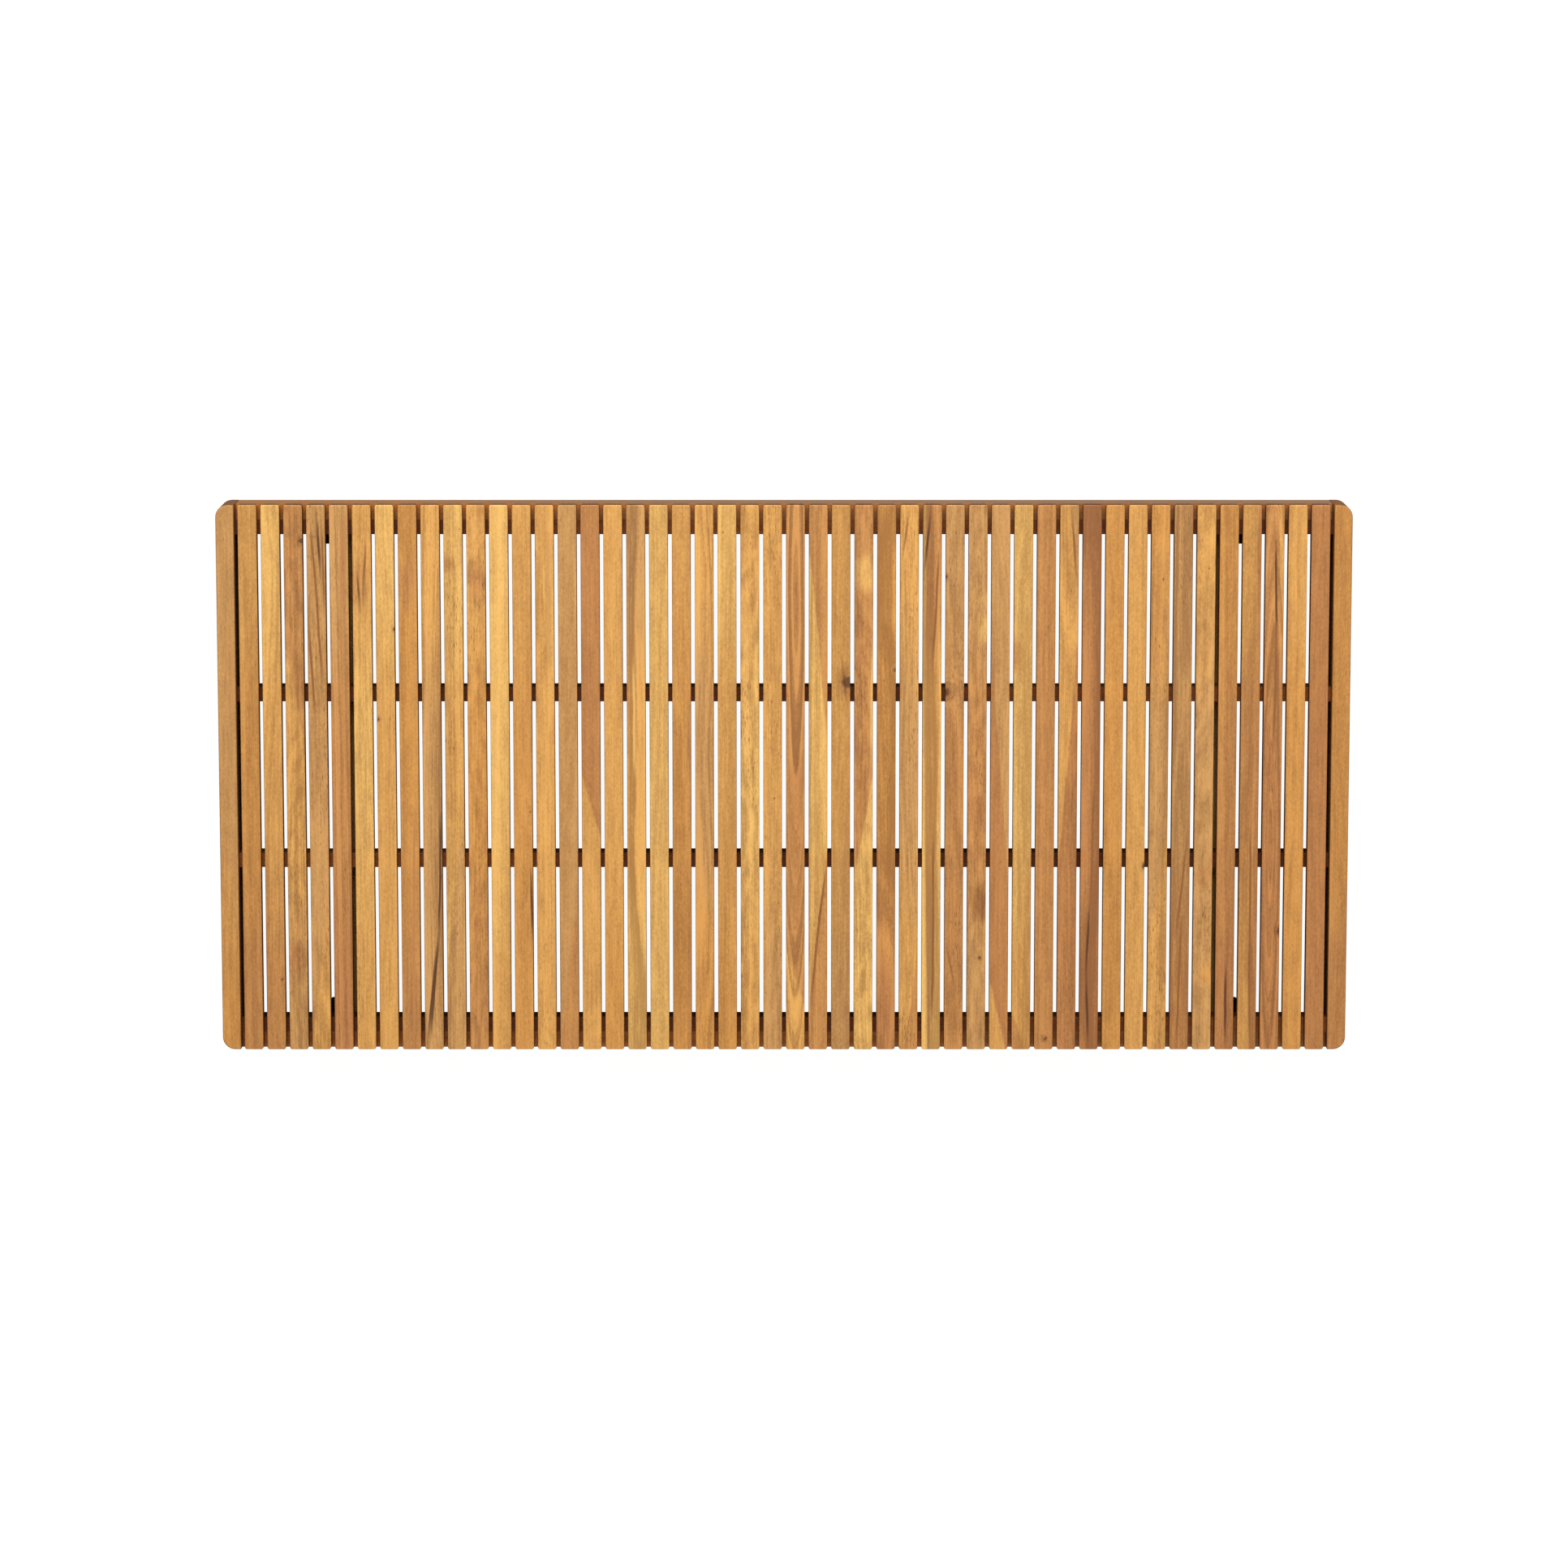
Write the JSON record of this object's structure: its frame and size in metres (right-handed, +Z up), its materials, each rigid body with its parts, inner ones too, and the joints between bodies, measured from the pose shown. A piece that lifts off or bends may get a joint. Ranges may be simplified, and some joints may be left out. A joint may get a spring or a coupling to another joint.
{
  "type": "slatted bath mat",
  "caption": "Rigid wooden duckboard bath mat: narrow slats with drain gaps in a low box frame with rounded corners, on rails, cross bearers and rubber feet.",
  "frame": {"origin": "middle of the mat on the surface that it stands on, at the centre of the box round its soles", "axes": "+X along the mat's length, +Y along its slats, +Z up to the tread"},
  "size_m": [0.9956, 0.485, 0.05],
  "materials": {
    "light_wood": "oiled, satin, pale gold",
    "golden_wood": "oiled, satin, golden orange",
    "tan_wood": "oiled, satin, olive tan",
    "brown_wood": "oiled, satin, mid brown",
    "reddish_wood": "oiled, satin, reddish brown",
    "frame_wood": "oiled, satin, golden brown",
    "rail_wood": "sawn and oiled, dull, dark brown",
    "screw_steel": "bright stainless, satin",
    "foot_rubber": "moulded, matt black"
  },
  "bodies": {
    "root": {"slat_01": "golden_wood", "slat_02": "light_wood", "slat_03": "brown_wood", "slat_04": "tan_wood", "slat_05": "reddish_wood", "slat_06": "light_wood", "slat_07": "light_wood", "slat_08": "brown_wood", "slat_09": "tan_wood", "slat_10": "light_wood", "slat_11": "reddish_wood", "slat_12": "light_wood", "slat_13": "golden_wood", "slat_14": "tan_wood", "slat_15": "light_wood", "slat_16": "brown_wood", "slat_17": "light_wood", "slat_18": "brown_wood", "slat_19": "light_wood", "slat_20": "brown_wood", "slat_21": "tan_wood", "slat_22": "golden_wood", "slat_23": "tan_wood", "slat_24": "light_wood", "slat_25": "reddish_wood", "slat_26": "light_wood", "slat_27": "tan_wood", "slat_28": "light_wood", "slat_29": "brown_wood", "slat_30": "light_wood", "slat_31": "brown_wood", "slat_32": "tan_wood", "slat_33": "brown_wood", "slat_34": "tan_wood", "slat_35": "light_wood", "slat_36": "golden_wood", "slat_37": "light_wood", "slat_38": "reddish_wood", "slat_39": "golden_wood", "slat_40": "light_wood", "slat_41": "tan_wood", "slat_42": "brown_wood", "slat_43": "tan_wood", "slat_44": "brown_wood", "slat_45": "golden_wood", "slat_46": "brown_wood", "slat_47": "golden_wood", "slat_48": "reddish_wood", "left_end_board": "frame_wood", "right_end_board": "frame_wood", "front_apron": "frame_wood", "back_apron": "frame_wood", "front_outer_rail": "rail_wood", "front_inner_rail": "rail_wood", "back_inner_rail": "rail_wood", "back_outer_rail": "rail_wood", "left_cross_bearer": "rail_wood", "right_cross_bearer": "rail_wood", "screws": "screw_steel", "rubber_feet": "foot_rubber"}
  },
  "joints": []
}
